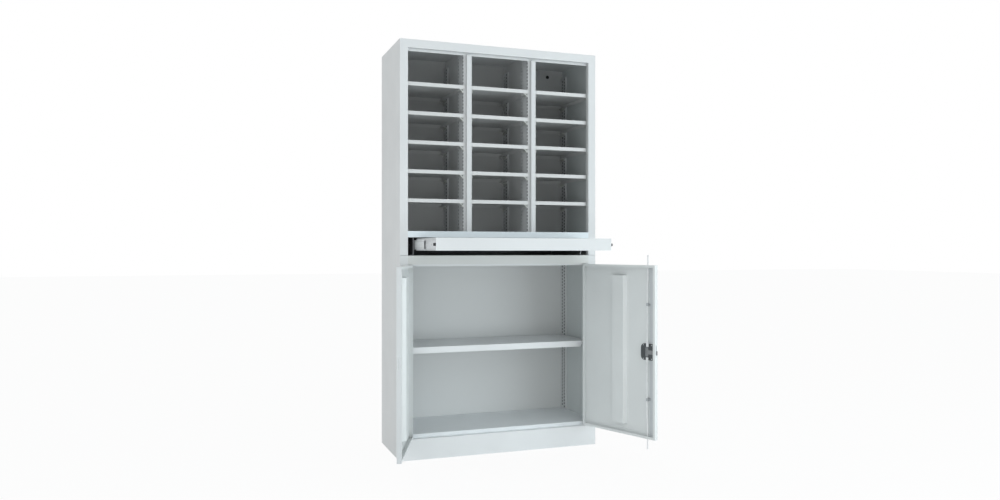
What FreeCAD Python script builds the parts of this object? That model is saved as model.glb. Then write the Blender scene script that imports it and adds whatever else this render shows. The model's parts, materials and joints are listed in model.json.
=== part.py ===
import FreeCAD, Part
import math
import os

# A free-standing sheet-steel cabinet for sorting mail. From the floor up it has a plinth, a cupboard
# with two hinged doors, a bay with a pull-out shelf on telescopic slides, and open pigeonholes.
# Millimetres. X runs to the right, Y to the rear, Z up. The origin is the middle of the floor area.
# It stands as in use: doors open by door_opening degrees, pull-out shelf drawn out by its full travel.

V = FreeCAD.Vector

# Carcass
width = 1000.0
depth = 400.0
sheet = 1.0
stile_width = 38.0
stile_return = 24.0
rear_flange = 20.0
back_ground_gap = 20.0
cable_hole_radius = 8.5
cable_hole_from_side = 89.0
cable_hole_from_top = 36.0

# Heights, stacked from the floor
plinth_height = 97.0
plinth_seam = 1.0
cupboard_floor_rise = 17.0
cupboard_height = 792.0
middle_rail_height = 41.0
section_seam = 1.2
bay_height = 85.0
sorter_rail_height = 29.0
header_height = 38.0
middle_lip = 9.0
header_lip = 11.0
header_lip_end_gap = 1.0
middle_lip_end_gap = 8.5
lip_post_gap = 1.0
brace_half_width = 30.0
brace_height = 40.0

# Pigeonholes
shelf_rows = 5
slots_per_shelf = 8
bottom_row_extra = 16.0
top_row_extra = 17.0
divider_offset = 165.0

# Slotted posts
nose_half = 9.5
nose_setback = 5.0
shoulder_half = 21.0
front_post_depth = 90.0
rear_post_half = 11.0
rear_post_depth = 60.5
corner_post_offset = 10.0
front_post_gap = 0.5
slot_pitch = 17.0
slot_width = 10.0
slot_height = 9.0
slot_margin = 3.0
front_post_columns = (7.0, 76.0)
rear_post_columns = (35.5, 10.5)

# Shelves and their clips
shelf_side_gap = 1.5
shelf_rear_gap = 6.0
shelf_flange = 17.0
shelf_hem = 10.0
shelf_shoulder_gap = 1.0
sorter_notch_depth = 14.0
sorter_notch_width = 29.5
cupboard_shelf_rise = 400.0
cupboard_shelf_setback = 56.0
cupboard_shelf_front = 29.0
cupboard_notch_depth = 3.0
cupboard_notch_width = 39.5
clip_sheet = 1.2
clip_length = 50.0
clip_drop = 18.0
clip_tail_drop = 12.0
clip_reach = 18.0
clip_brace = 5.0
clip_lip = 8.0
clip_post_inset = 1.5
clip_hook_drop = 5.0
clip_hook_width = 7.0
clip_hook_height = 6.0
clip_hook_tooth = 3.0

# Pull-out shelf
work_shelf_side_gap = 46.0
work_shelf_top_gap = 6.0
work_shelf_height = 55.5
work_shelf_rear_gap = 43.0
work_shelf_front_reach = 3.0
bracket_sheet = 1.5
bracket_flange = 18.0
bracket_front_flange = 4.0
bracket_rear_gap = 13.0
slide_sheet = 1.2
slide_height = 45.0
slide_thickness = 12.7
slide_level = 26.5
slide_setback = 22.0
slide_rear_gap = 26.0
slide_clearance = 0.3
slide_web_gap = 2.8
middle_lead = 6.0
inner_lead = 20.0
travel_kept_in = 25.5
retainer_radius = 19.5
retainer_hollow_radius = 17.0
retainer_hollow_lead = 7.0
retainer_inset = 1.0
retainer_thickness = 1.2
cap_radius = 6.5
cap_inset = 7.0
cap_proud = 10.8

# Screws of the slides
screw_radius = 2.0
screw_head_radius = 4.0
screw_head = 2.0
screw_tail = 3.0
screw_inset = 75.0
screws_per_slide = 3

# Doors
door_opening = 110.0
door_stile_gap = 3.0
door_middle_gap = 3.0
door_top_gap = 3.0
door_bottom_gap = 1.5
door_depth = 20.0
door_lip = 12.0
stiffener_width = 90.0
stiffener_crown = 70.0
stiffener_depth = 17.0
stiffener_flange = 8.0
stiffener_top_gap = 50.0
stiffener_bottom_gap = 48.5
pin_from_edge = 8.5
pin_from_front = 6.5
pin_radius = 3.0
pin_length = 11.0
pin_washer_radius = 7.0
pin_top_play = 1.0
pin_bottom_play = 0.3
bush_radius = 5.0
bush_length = 12.0

# Lock
fit = 0.05
lock_backset = 55.5
lock_below_middle = 1.0
case_toward_hinge = 37.0
case_toward_edge = 33.0
case_half_height = 38.0
case_depth = 7.0
case_wall = 1.5
case_corner = 20.0
shaft_radius = 5.0
cam_half_width = 8.5
cam_half_length = 23.0
cam_thickness = 2.0
cam_gap = 0.4
arm_reach = 62.5
arm_height = 19.0
arm_below_axis = 1.0
arm_slot_side_gap = 1.0
arm_slot_end_gap = 2.0
hub_radius = 14.0
hub_depth = 21.0
hub_gap = 1.0
lever_length = 100.0
lever_width = 18.0
lever_thickness = 10.0
cylinder_radius = 8.0
cylinder_depth = 12.0
cylinder_proud = 1.5
shaft_in_hub = 6.0
rod_offset = 5.5
rod_width = 7.0
rod_thickness = 2.0
rod_gap = 0.3
rod_start = 24.0
rod_foot_width = 13.0
rod_foot_length = 22.0
rod_bend_from_lock = 300.0
rod_bend_length = 40.0
rod_bend = 4.0
top_rod_reach = 47.5
bottom_rod_reach = 50.2
rod_slot_gap = 0.5
rod_keeper_gap = 2.0
guide_from_lock = 220.0
guide_height = 14.0
guide_sheet = 1.5
guide_foot = 6.0
guide_gap = 0.3

# Places worked out from the sizes above
half = width / 2
front = -depth / 2
back = depth / 2
wall = half - sheet
opening_half = half - stile_width
recess = front + stile_return
rear_in = back - 2 * sheet
shelf_pitch = slots_per_shelf * slot_pitch
ledge_z = plinth_height + plinth_seam
cupboard_floor_z = ledge_z + cupboard_floor_rise
rail_z = cupboard_floor_z + cupboard_height
bay_floor_z = rail_z + middle_rail_height
sorter_rail_z = bay_floor_z + bay_height
sorter_floor_z = sorter_rail_z + sorter_rail_height
first_shelf_z = sorter_floor_z + shelf_pitch + bottom_row_extra
header_z = first_shelf_z + shelf_rows * shelf_pitch + top_row_extra
top_z = header_z + header_height
cupboard_shelf_z = cupboard_floor_z + cupboard_shelf_rise
corner_post_face = wall - corner_post_offset
front_clip_y = recess + front_post_gap + clip_post_inset
rear_clip_y = rear_in - corner_post_offset + clip_post_inset
shelf_rear = rear_in - shelf_rear_gap

shelf_half = opening_half - work_shelf_side_gap
bracket_x = shelf_half + slide_thickness
work_shelf_top = sorter_rail_z - work_shelf_top_gap
work_shelf_bottom = work_shelf_top - work_shelf_height
work_shelf_rear = rear_in - work_shelf_rear_gap
slide_z = work_shelf_bottom + slide_level
slide_front = front + slide_setback
slide_length = rear_in - slide_rear_gap - slide_front
travel = slide_length - travel_kept_in

door_hinge_x = opening_half - door_stile_gap
door_free_x = door_middle_gap / 2
door_bottom = ledge_z + sheet + door_bottom_gap
door_top = rail_z - door_top_gap
door_middle_x = (door_hinge_x + door_free_x) / 2
pin_x = door_hinge_x - pin_from_edge
pin_y = front + pin_from_front
lock_x = door_free_x + lock_backset
lock_z = (door_bottom + door_top) / 2 - lock_below_middle
rod_x = lock_x - rod_offset
case_y = front + sheet + case_depth
cam_y = case_y + cam_gap
top_rod_y = cam_y + cam_thickness + rod_gap
bottom_rod_y = top_rod_y + rod_thickness + rod_gap
top_rod_end_y = top_rod_y - rod_bend
bottom_rod_end_y = bottom_rod_y - rod_bend
x_axis = V(1, 0, 0)
y_axis = V(0, 1, 0)
z_axis = V(0, 0, 1)


def box(x0, x1, y0, y1, z0, z1):
    corner = V(min(x0, x1), min(y0, y1), min(z0, z1))
    return Part.makeBox(abs(x1 - x0), abs(y1 - y0), abs(z1 - z0), corner)


def rod_along(axis, radius, start, length):
    return Part.makeCylinder(radius, length, start, axis)


def joined(solids):
    return solids[0].fuse(solids[1:]).removeSplitter()


def moved(shape, x=0.0, y=0.0, z=0.0):
    copy = shape.copy()
    copy.translate(V(x, y, z))
    return copy


def mirrored(shape):
    return shape.mirror(V(0, 0, 0), x_axis)


def both_sides(solids):
    return solids + [mirrored(solid) for solid in solids]


def prism(points, direction):
    return Part.Face(Part.makePolygon(points + points[:1])).extrude(direction)


def strip_outline(path, thickness):
    """Outline of a sheet bent along a 2-D path, with its thickness to the left of travel."""
    points = [V(a, b, 0) for a, b in path]
    normals = []
    for start, end in zip(points, points[1:]):
        along = (end - start).normalize()
        normals.append(V(-along.y, along.x, 0))
    inner = [points[0] + normals[0] * thickness]
    for point, before, after in zip(points[1:-1], normals, normals[1:]):
        inner.append(point + (before + after) * (thickness / (1 + before.dot(after))))
    inner.append(points[-1] + normals[-1] * thickness)
    return [(p.x, p.y) for p in points + inner[::-1]]


def folded_up(path, z0, z1, thickness=sheet):
    """A sheet bent along a plan path of (x, y) points, standing from z0 to z1."""
    outline = [V(x, y, z0) for x, y in strip_outline(path, thickness)]
    return prism(outline, V(0, 0, z1 - z0))


def folded_across(path, x0, x1, thickness=sheet):
    """A sheet bent along a side path of (y, z) points, running from x0 to x1."""
    outline = [V(x0, y, z) for y, z in strip_outline(path, thickness)]
    return prism(outline, V(x1 - x0, 0, 0))


def folded_back(path, y0, y1, thickness=sheet):
    """A sheet bent along a front path of (x, z) points, running from y0 to y1."""
    outline = [V(x, y0, z) for x, z in strip_outline(path, thickness)]
    return prism(outline, V(0, y1 - y0, 0))


def save(name, solids):
    shape = solids[0] if len(solids) == 1 else Part.makeCompound(solids)
    shape.exportStep(f"parts/{name}.step")


def save_pair(name, right_shape):
    save("right_" + name, [right_shape])
    save("left_" + name, [mirrored(right_shape)])


# Carcass panels

def side_panel():
    """The right side: outer sheet, front stile in two lengths, and rear flange."""
    plan = [(opening_half, recess), (opening_half, front), (half, front), (half, back),
            (half - rear_flange, back)]
    behind_plinth = [(half, front + sheet)] + plan[3:]
    return joined([folded_up(behind_plinth, 0, top_z),
                   folded_up(plan, ledge_z, bay_floor_z),
                   folded_up(plan, bay_floor_z + section_seam, top_z)])


def back_panel():
    hole_at = V(half - cable_hole_from_side, rear_in, top_z - cable_hole_from_top)
    panel = box(-wall, wall, rear_in, rear_in + sheet, back_ground_gap, top_z)
    return panel.cut(rod_along(y_axis, cable_hole_radius, hole_at, sheet))


def lip(z, drop, end_gap):
    """The turned-down edge at the rear of a rail's bottom return."""
    end = opening_half - end_gap
    return box(-end, end, recess - sheet, recess, z - drop, z + sheet)


def header_rail():
    profile = [(recess, top_z), (front, top_z), (front, header_z), (recess, header_z)]
    return joined([folded_across(profile, -opening_half, opening_half),
                   lip(header_z, header_lip, header_lip_end_gap)])


def floor_with_rail(floor_z, bottom_z):
    """A floor sheet whose front is bent down into a rail with a bottom return."""
    profile = [(recess, floor_z), (front, floor_z), (front, bottom_z), (recess, bottom_z)]
    rail = folded_across(profile, -opening_half, opening_half)
    return rail, box(-wall, wall, recess, rear_in, floor_z - sheet, floor_z)


def rod_keeper(rod_y, z0, z1):
    """The slot that a lock rod enters, with the right door closed."""
    reach = rod_width / 2 + rod_keeper_gap
    return box(rod_x - reach, rod_x + reach, rod_y - rod_keeper_gap,
               rod_y + rod_thickness + rod_keeper_gap, z0, z1)


def middle_rail():
    rail, floor = floor_with_rail(bay_floor_z, rail_z)
    shape = joined([rail, floor, lip(rail_z, middle_lip, middle_lip_end_gap)])
    return shape.cut(rod_keeper(top_rod_end_y, rail_z, bay_floor_z))


def cupboard_floor():
    sheet_bottom = cupboard_floor_z - sheet
    shape = joined([box(-wall, wall, recess, rear_in, sheet_bottom, cupboard_floor_z),
                    box(-wall, wall, recess, recess + sheet, ledge_z, cupboard_floor_z),
                    box(-opening_half, opening_half, front, recess + sheet, ledge_z, ledge_z + sheet)])
    return shape.cut(rod_keeper(bottom_rod_end_y, ledge_z, ledge_z + sheet))


def plinth():
    """A closed skirt with a channel from front to rear whose web lies on the floor."""
    rail_rear = rear_in - sheet
    skirt_side = box(wall - sheet, wall, front, rear_in, 0, plinth_height)
    channel = [(-brace_half_width, brace_height), (-brace_half_width, 0),
               (brace_half_width, 0), (brace_half_width, brace_height)]
    shape = joined([box(-half, half, front, front + sheet, 0, plinth_height),
                    box(-wall, wall, front, recess, plinth_height - sheet, plinth_height),
                    skirt_side, mirrored(skirt_side),
                    box(-wall, wall, rail_rear, rear_in, 0, plinth_height),
                    folded_back(channel, front + sheet, rail_rear)])
    return shape.cut(rod_keeper(bottom_rod_end_y, plinth_height - sheet, plinth_height))


# Slotted posts

def slot_levels(hook_z, z0, z1):
    """Middles of the slots between z0 and z1 that share the pitch of the slot at hook_z."""
    low = z0 + slot_margin + slot_height / 2
    high = z1 - slot_margin - slot_height / 2
    first = hook_z - slot_pitch * math.floor((hook_z - low) / slot_pitch)
    return [first + i * slot_pitch for i in range(math.floor((high - first) / slot_pitch) + 1)]


def slotted_wall(x, y0, y1, z0, z1, columns, hook_z):
    """A wall one sheet thick from x inwards, with a column of slots at each y of columns.
    Every second column is shifted by half a pitch."""
    outer = [V(x, y0, z0), V(x, y1, z0), V(x, y1, z1), V(x, y0, z1)]
    wires = [Part.makePolygon(outer + outer[:1])]
    for number, y in enumerate(columns):
        for z in slot_levels(hook_z + number * slot_pitch / 2, z0, z1):
            a, b = y - slot_width / 2, y + slot_width / 2
            c, d = z - slot_height / 2, z + slot_height / 2
            corners = [V(x, a, c), V(x, b, c), V(x, b, d), V(x, a, d), V(x, a, c)]
            wires.append(Part.makePolygon(corners))
    return Part.makeFace(wires, "Part::FaceMakerBullseye").extrude(V(-sheet, 0, 0))


def hook_level(shelf_z):
    return shelf_z - shelf_flange - clip_hook_drop


def divider_front_post():
    """Around the front edge of a divider at X = 0: a nose, shoulders and two slotted sides."""
    rear = recess + front_post_depth
    columns = [recess + offset for offset in front_post_columns]
    nose_y = front + nose_setback
    nose = [(-nose_half, recess + sheet), (-nose_half, nose_y), (nose_half, nose_y), (nose_half, recess + sheet)]
    side = [box(nose_half - sheet, shoulder_half, recess, recess + sheet, sorter_floor_z, top_z),
            slotted_wall(shoulder_half, recess, rear, sorter_floor_z, top_z, columns, hook_level(first_shelf_z)),
            box(sheet / 2, shoulder_half, rear - sheet, rear, sorter_floor_z, top_z)]
    nose_top = header_z - header_lip - lip_post_gap
    return joined([folded_up(nose, sorter_floor_z, nose_top)] + both_sides(side))


def divider_rear_post():
    """Around the rear of a divider at X = 0: a channel with its web against the back panel."""
    front_edge = rear_in - rear_post_depth
    columns = [front_edge + offset for offset in rear_post_columns]
    top = header_z - sheet
    side = [box(sheet / 2, rear_post_half, front_edge, front_edge + sheet, sorter_floor_z, top),
            slotted_wall(rear_post_half, front_edge, rear_in, sorter_floor_z, top, columns,
                         hook_level(first_shelf_z))]
    web = box(-rear_post_half, rear_post_half, rear_in - sheet, rear_in, sorter_floor_z, top)
    return joined([web] + both_sides(side))


def corner_posts(z0, z1, hook_z):
    """Four channels that stand the slotted faces off the side walls."""
    front_edge = rear_in - rear_post_depth
    columns = [front_edge + offset for offset in rear_post_columns]
    rear = joined([
        slotted_wall(corner_post_face + sheet, front_edge, rear_in, z0, z1, columns, hook_z),
        box(corner_post_face, wall, front_edge, front_edge + sheet, z0, z1),
        box(corner_post_face, wall, rear_in - sheet, rear_in, z0, z1)])
    ahead = moved(rear.mirror(V(0, 0, 0), y_axis), y=rear_in + recess + front_post_gap)
    return both_sides([rear, ahead])


def divider():
    return box(-sheet / 2, sheet / 2, recess + sheet, rear_in - sheet, sorter_floor_z, top_z)


# Shelves

def shelf_pan(x0, x1, front_y, rear_y, top, flange, notches=(0.0, 0.0), notch_depth=0.0):
    """A sheet with flanges turned down all round. A notch at an end leaves the front edge shorter."""
    tongue = (x0 + notches[0], x1 - notches[1])
    body_y = front_y + notch_depth
    under = top - sheet
    outer = box(x0, x1, body_y, rear_y, top - flange, top)
    inner = box(x0 + sheet, x1 - sheet, body_y + sheet, rear_y - sheet, top - flange, under)
    if notch_depth:
        outer = joined([outer, box(tongue[0], tongue[1], front_y, body_y, top - flange, top)])
        inner = joined([inner, box(tongue[0] + sheet, tongue[1] - sheet, front_y + sheet,
                                   body_y + sheet, top - flange, under)])
    return outer.cut(inner)


def front_band(x0, x1, front_y, top, height, reaches=(0.0, 0.0)):
    """The front edge of a shelf: a face that may reach past the pan, with a hem turned back along its bottom."""
    bottom = top - height
    return joined([box(x0 - reaches[0], x1 + reaches[1], front_y, front_y + sheet, bottom, top),
                   box(x0, x1, front_y, front_y + shelf_hem, bottom, bottom + sheet)])


def sorter_shelf(x0, x1, notches, reaches):
    """A pigeonhole shelf at Z = 0, whose front face reaches in front of the post shoulders."""
    front_y = recess - shelf_shoulder_gap - sheet
    pan = shelf_pan(x0, x1, front_y, shelf_rear, 0, shelf_flange, notches, sorter_notch_depth)
    return joined([pan, front_band(x0 + notches[0], x1 - notches[1], front_y, 0, shelf_flange, reaches)])


def cupboard_shelf():
    end = corner_post_face - shelf_side_gap
    front_y = front + cupboard_shelf_setback
    notches = (cupboard_notch_width, cupboard_notch_width)
    pan = shelf_pan(-end, end, front_y, shelf_rear, cupboard_shelf_z, shelf_flange, notches,
                    cupboard_notch_depth)
    band_end = end - cupboard_notch_width
    return joined([pan, front_band(-band_end, band_end, front_y, cupboard_shelf_z, cupboard_shelf_front)])


def clip(hook_y, reach):
    """A shelf clip on a face at X = 0 that looks toward -X, seat at Z = 0, front end at Y = 0."""
    slot_bottom = -clip_hook_drop - slot_height / 2
    web = [V(0, 0, 0), V(0, 0, -clip_drop), V(0, clip_length, -clip_tail_drop), V(0, clip_length, 0)]
    lip = strip_outline([(0, -clip_drop), (clip_length, -clip_tail_drop)], clip_sheet)
    seat = box(-reach, 0, 0, clip_length, -clip_sheet, 0)
    hook_y0, hook_y1 = hook_y - clip_hook_width / 2, hook_y + clip_hook_width / 2
    tab = box(0, sheet, hook_y0, hook_y1, slot_bottom, slot_bottom + clip_hook_height)
    tooth = box(sheet, sheet + clip_sheet, hook_y0, hook_y1, slot_bottom - clip_hook_tooth,
                slot_bottom + clip_hook_height)
    edge = prism([V(0, y, z) for y, z in lip], V(-clip_lip, 0, 0))
    edge = edge.common(box(-clip_lip, 0, 0, clip_length, -clip_drop, 0))
    brace = [V(-reach, 0, -clip_sheet), V(clip_brace - reach, 0, -clip_sheet), V(0, 0, clip_brace - clip_drop),
             V(0, 0, -clip_drop)]
    return joined([prism(web, V(-clip_sheet, 0, 0)), seat, edge, tab, tooth, prism(brace, V(0, clip_sheet, 0))])


def turned_back(shape, y):
    """The same clip with its front end at the rear, at y."""
    return moved(shape.mirror(V(0, 0, 0), y_axis), y=y)


def shelf_clips():
    """Four clips under every shelf, hooked into the slots. The brace of a clip stands at its front end,
    but at its rear end on the left side of a pigeonhole and in the rear of the cabinet."""
    post_column = front_post_columns[0] + recess - front_clip_y
    corner_column = recess + front_post_gap + rear_post_depth - rear_post_columns[0] - front_clip_y
    rear_column = rear_clip_y - (rear_in - rear_post_depth + rear_post_columns[0])
    rear_reach = clip_reach + shoulder_half - rear_post_half
    rear_corner = moved(turned_back(clip(rear_column, clip_reach), rear_clip_y), corner_post_face)
    rear_post = turned_back(clip(rear_column, rear_reach), rear_clip_y)
    right_faces = ((corner_post_face, corner_column), (divider_offset - shoulder_half, post_column),
                   (-divider_offset - shoulder_half, post_column))
    row = both_sides([rear_corner, moved(rear_post, divider_offset - rear_post_half),
                      moved(mirrored(rear_post), divider_offset + rear_post_half)])
    for x, column in right_faces:
        row.append(moved(clip(column, clip_reach), x, front_clip_y))
        left = turned_back(clip(clip_length - column, clip_reach), front_clip_y + clip_length)
        row.append(mirrored(moved(left, x)))
    seats = [first_shelf_z + i * shelf_pitch - shelf_flange for i in range(shelf_rows)]
    solids = [moved(one, z=seat) for seat in seats for one in row]
    low_row = both_sides([rear_corner, moved(clip(corner_column, clip_reach), corner_post_face, front_clip_y)])
    return solids + [moved(one, z=cupboard_shelf_z - shelf_flange) for one in low_row]


# Pull-out shelf and its slides, drawn on the right and pushed in

def screw_rows(start, length):
    step = (length - 2 * screw_inset) / (screws_per_slide - 1)
    return [start + screw_inset + i * step for i in range(screws_per_slide)]


def screws(x, direction, rows):
    """Screws whose heads bear on a face at x, with shanks along direction."""
    through = {1: slide_sheet + bracket_sheet, -1: slide_sheet + sheet}[direction]
    solids = []
    for y in rows:
        head = rod_along(x_axis * -direction, screw_head_radius, V(x, y, slide_z), screw_head)
        shank = rod_along(x_axis * direction, screw_radius, V(x, y, slide_z), through + screw_tail)
        solids.append(joined([head, shank]))
    return solids


def screw_holes(x0, x1, rows):
    return [rod_along(x_axis, screw_radius + fit, V(x0, y, slide_z), x1 - x0) for y in rows]


def bay_bracket():
    """Stands between the bay floor and the sorter floor and carries a slide."""
    under = sorter_floor_z - sheet
    channel = [(bracket_x + bracket_flange, under), (bracket_x, under), (bracket_x, bay_floor_z),
               (bracket_x + bracket_flange, bay_floor_z)]
    shape = joined([folded_back(channel, recess, rear_in - bracket_rear_gap, bracket_sheet),
                    box(bracket_x, bracket_x + bracket_front_flange, recess, recess + bracket_sheet,
                        bay_floor_z, under)])
    return shape.cut(screw_holes(bracket_x, bracket_x + bracket_sheet, screw_rows(slide_front, slide_length)))


def slide_channel(x_open, x_web, half_height, y0):
    """One member: a channel with its web at x_web, open toward x_open."""
    sign = 1 if x_web > x_open else -1
    path = [(x_open, slide_z - sign * half_height), (x_web, slide_z - sign * half_height),
            (x_web, slide_z + sign * half_height), (x_open, slide_z + sign * half_height)]
    return folded_back(path, y0, y0 + slide_length, slide_sheet)


step_in = slide_sheet + slide_clearance
middle_web_x = bracket_x - slide_sheet - slide_web_gap
middle_half_height = slide_height / 2 - step_in
inner_half_height = middle_half_height - step_in
inner_front = slide_front - inner_lead
inner_web_face = shelf_half + slide_sheet


def slide_outer():
    rows = screw_rows(slide_front, slide_length)
    member = slide_channel(shelf_half + slide_clearance, bracket_x, slide_height / 2, slide_front)
    return member.cut(screw_holes(bracket_x - slide_sheet, bracket_x, rows))


def slide_middle():
    return slide_channel(shelf_half + slide_clearance, middle_web_x, middle_half_height,
                         slide_front - middle_lead)


def slide_retainer():
    """A plastic crescent on the outer face of the middle member, with its hollow side to the front."""
    tip = slide_front - middle_lead + retainer_inset
    disc = rod_along(x_axis, retainer_radius, V(middle_web_x, tip, slide_z), retainer_thickness)
    hollow = rod_along(x_axis, retainer_hollow_radius, V(middle_web_x, tip - retainer_hollow_lead, slide_z),
                       retainer_thickness)
    ahead = box(middle_web_x, middle_web_x + retainer_thickness, tip - retainer_radius, tip,
                slide_z - retainer_radius, slide_z + retainer_radius)
    return disc.cut([hollow, ahead])


def slide_inner():
    rows = screw_rows(inner_front, slide_length)
    member = slide_channel(middle_web_x - slide_sheet - slide_clearance, shelf_half, inner_half_height, inner_front)
    cap_hole = rod_along(x_axis, cap_radius + fit, V(shelf_half, inner_front + cap_inset, slide_z), slide_sheet)
    return member.cut(screw_holes(shelf_half, inner_web_face, rows) + [cap_hole])


def slide_end_cap():
    """A round bumper that stands out of the front end of the inner member."""
    return rod_along(x_axis, cap_radius, V(shelf_half, inner_front + cap_inset, slide_z), slide_sheet + cap_proud)


def work_shelf():
    pan = shelf_pan(-shelf_half, shelf_half, front, work_shelf_rear, work_shelf_top, work_shelf_height)
    band = front_band(-shelf_half, shelf_half, front, work_shelf_top, work_shelf_height,
                      (work_shelf_front_reach, work_shelf_front_reach))
    rows = screw_rows(inner_front, slide_length)
    holes = screw_holes(shelf_half - sheet, shelf_half, rows)
    return joined([pan, band]).cut(both_sides(holes))


# Doors and lock, drawn on the right and closed

def opened(shape, side=1):
    """Swings a closed door piece open about its hinge pins; side is 1 on the right, -1 on the left."""
    copy = shape.copy()
    copy.rotate(V(side * pin_x, pin_y, 0), z_axis, side * door_opening)
    return copy


def arm_slot():
    """The slot in a door's free edge for the lock arm, tall enough for the arm to swing up and out."""
    tip = math.hypot(arm_reach, arm_height / 2 + arm_below_axis)
    rise = math.sqrt(tip ** 2 - (lock_backset - sheet) ** 2)
    drop = arm_height / 2 + arm_below_axis
    return box(door_free_x, door_free_x + sheet, cam_y - arm_slot_side_gap,
               cam_y + cam_thickness + arm_slot_side_gap,
               lock_z - drop - arm_slot_end_gap, lock_z + rise + arm_slot_end_gap)


def rod_slot(rod_y, z0, z1):
    reach = rod_width / 2 + rod_slot_gap
    return box(rod_x - reach, rod_x + reach, rod_y - rod_slot_gap, rod_y + rod_thickness + rod_slot_gap, z0, z1)


def door_pan():
    """A door skin with flanges on four sides, lips turned in behind them, and holes for the bushes."""
    skin = box(door_free_x, door_hinge_x, front, front + door_depth, door_bottom, door_top)
    hollow = box(door_free_x + sheet, door_hinge_x - sheet, front + sheet, front + door_depth - sheet,
                 door_bottom + sheet, door_top - sheet)
    window = box(door_free_x + door_lip, door_hinge_x - door_lip, front + sheet, front + door_depth,
                 door_bottom + door_lip, door_top - door_lip)
    bush_holes = [rod_along(z_axis, bush_radius + fit, V(pin_x, pin_y, z), sheet)
                  for z in (door_bottom, door_top - sheet)]
    return skin.cut([hollow, window, arm_slot()] + bush_holes)


def right_door():
    shaft_hole = rod_along(y_axis, shaft_radius + fit, V(lock_x, front, lock_z), sheet)
    return door_pan().cut([rod_slot(top_rod_end_y, door_top - sheet, door_top),
                           rod_slot(bottom_rod_end_y, door_bottom, door_bottom + sheet), shaft_hole])


def door_stiffener():
    """A hat section with sloping sides on the inside of the door skin."""
    inner = front + sheet
    foot, crown = stiffener_width / 2, stiffener_crown / 2
    plan = [(-foot - stiffener_flange, inner), (-foot, inner), (-crown, inner + stiffener_depth),
            (crown, inner + stiffener_depth), (foot, inner), (foot + stiffener_flange, inner)]
    path = [(door_middle_x + x, y) for x, y in reversed(plan)]
    feet_up = [(x, y + sheet if y == inner else y) for x, y in path]
    return folded_up(feet_up, door_bottom + stiffener_bottom_gap, door_top - stiffener_top_gap)


def hinge_bushes():
    solids = []
    for z in (door_bottom, door_top - bush_length):
        tube = rod_along(z_axis, bush_radius, V(pin_x, pin_y, z), bush_length)
        solids.append(tube.cut(rod_along(z_axis, pin_radius + fit, V(pin_x, pin_y, z), bush_length)))
    return solids


def hinge_pins():
    """A headed pin down from the middle rail and one up from the ledge, for each door."""
    ledge_top = ledge_z + sheet
    washer_bottom = door_top + pin_top_play
    high = joined([
        rod_along(z_axis, pin_washer_radius, V(pin_x, pin_y, washer_bottom), rail_z - washer_bottom),
        rod_along(z_axis, pin_radius, V(pin_x, pin_y, door_top - pin_length), rail_z - door_top + pin_length)])
    low = joined([
        rod_along(z_axis, pin_washer_radius, V(pin_x, pin_y, ledge_top), door_bottom_gap - pin_bottom_play),
        rod_along(z_axis, pin_radius, V(pin_x, pin_y, ledge_top), door_bottom_gap + pin_length)])
    return both_sides([high, low])


def lock_case():
    x0, x1 = lock_x - case_toward_edge, lock_x + case_toward_hinge
    z0, z1 = lock_z - case_half_height, lock_z + case_half_height
    inner = front + sheet
    outer = box(x0, x1, inner, case_y, z0, z1)
    hollow = box(x0 + case_wall, x1 - case_wall, inner + case_wall, case_y - case_wall,
                 z0 + case_wall, z1 - case_wall)
    corners = [edge for edge in outer.Edges
               if all(abs(vertex.X - x1) < fit for vertex in edge.Vertexes)
               and edge.BoundBox.YLength > fit]
    shaft_hole = rod_along(y_axis, shaft_radius + fit, V(lock_x, inner, lock_z), case_depth)
    shell = outer.makeFillet(case_corner, corners)
    corners = [edge for edge in hollow.Edges
               if all(abs(vertex.X - x1 + case_wall) < fit for vertex in edge.Vertexes)
               and edge.BoundBox.YLength > fit]
    return shell.cut([hollow.makeFillet(case_corner - case_wall, corners), shaft_hole])


def lock_cam():
    """An upright bar that draws both rods, the arm that reaches past the free edge, and the shaft."""
    shaft_end = front - hub_gap - shaft_in_hub
    arm_z = lock_z - arm_below_axis
    straight = cam_half_length - cam_half_width
    bar = [box(lock_x - cam_half_width, lock_x + cam_half_width, cam_y, cam_y + cam_thickness,
               lock_z - straight, lock_z + straight)]
    for z in (lock_z - straight, lock_z + straight):
        bar.append(rod_along(y_axis, cam_half_width, V(lock_x, cam_y, z), cam_thickness))
    arm = box(lock_x - arm_reach, lock_x, cam_y, cam_y + cam_thickness, arm_z - arm_height / 2,
              arm_z + arm_height / 2)
    shaft = rod_along(y_axis, shaft_radius, V(lock_x, shaft_end, lock_z), cam_y - shaft_end)
    return joined(bar + [arm, shaft])


def door_handle():
    """A lever outside the door, hanging down, with bores for the shaft and the key cylinder."""
    hub_outer = front - hub_gap - hub_depth
    hub = rod_along(y_axis, hub_radius, V(lock_x, hub_outer, lock_z), hub_depth)
    lever = box(lock_x - lever_width / 2, lock_x + lever_width / 2, hub_outer, hub_outer + lever_thickness,
                lock_z - lever_length, lock_z)
    tip = rod_along(y_axis, lever_width / 2, V(lock_x, hub_outer, lock_z - lever_length), lever_thickness)
    shaft_bore = rod_along(y_axis, shaft_radius + fit, V(lock_x, front - hub_gap - shaft_in_hub, lock_z),
                           shaft_in_hub)
    cylinder_bore = rod_along(y_axis, cylinder_radius + fit, V(lock_x, hub_outer, lock_z), cylinder_depth)
    return joined([hub, lever, tip]).cut([shaft_bore, cylinder_bore])


def lock_cylinder():
    outer = front - hub_gap - hub_depth - cylinder_proud
    key_slot = box(lock_x - sheet / 2, lock_x + sheet / 2, outer, outer + cylinder_depth / 2,
                   lock_z - cylinder_radius / 2, lock_z + cylinder_radius / 2)
    barrel = rod_along(y_axis, cylinder_radius, V(lock_x, outer, lock_z), cylinder_depth + cylinder_proud)
    return barrel.cut(key_slot)


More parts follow.
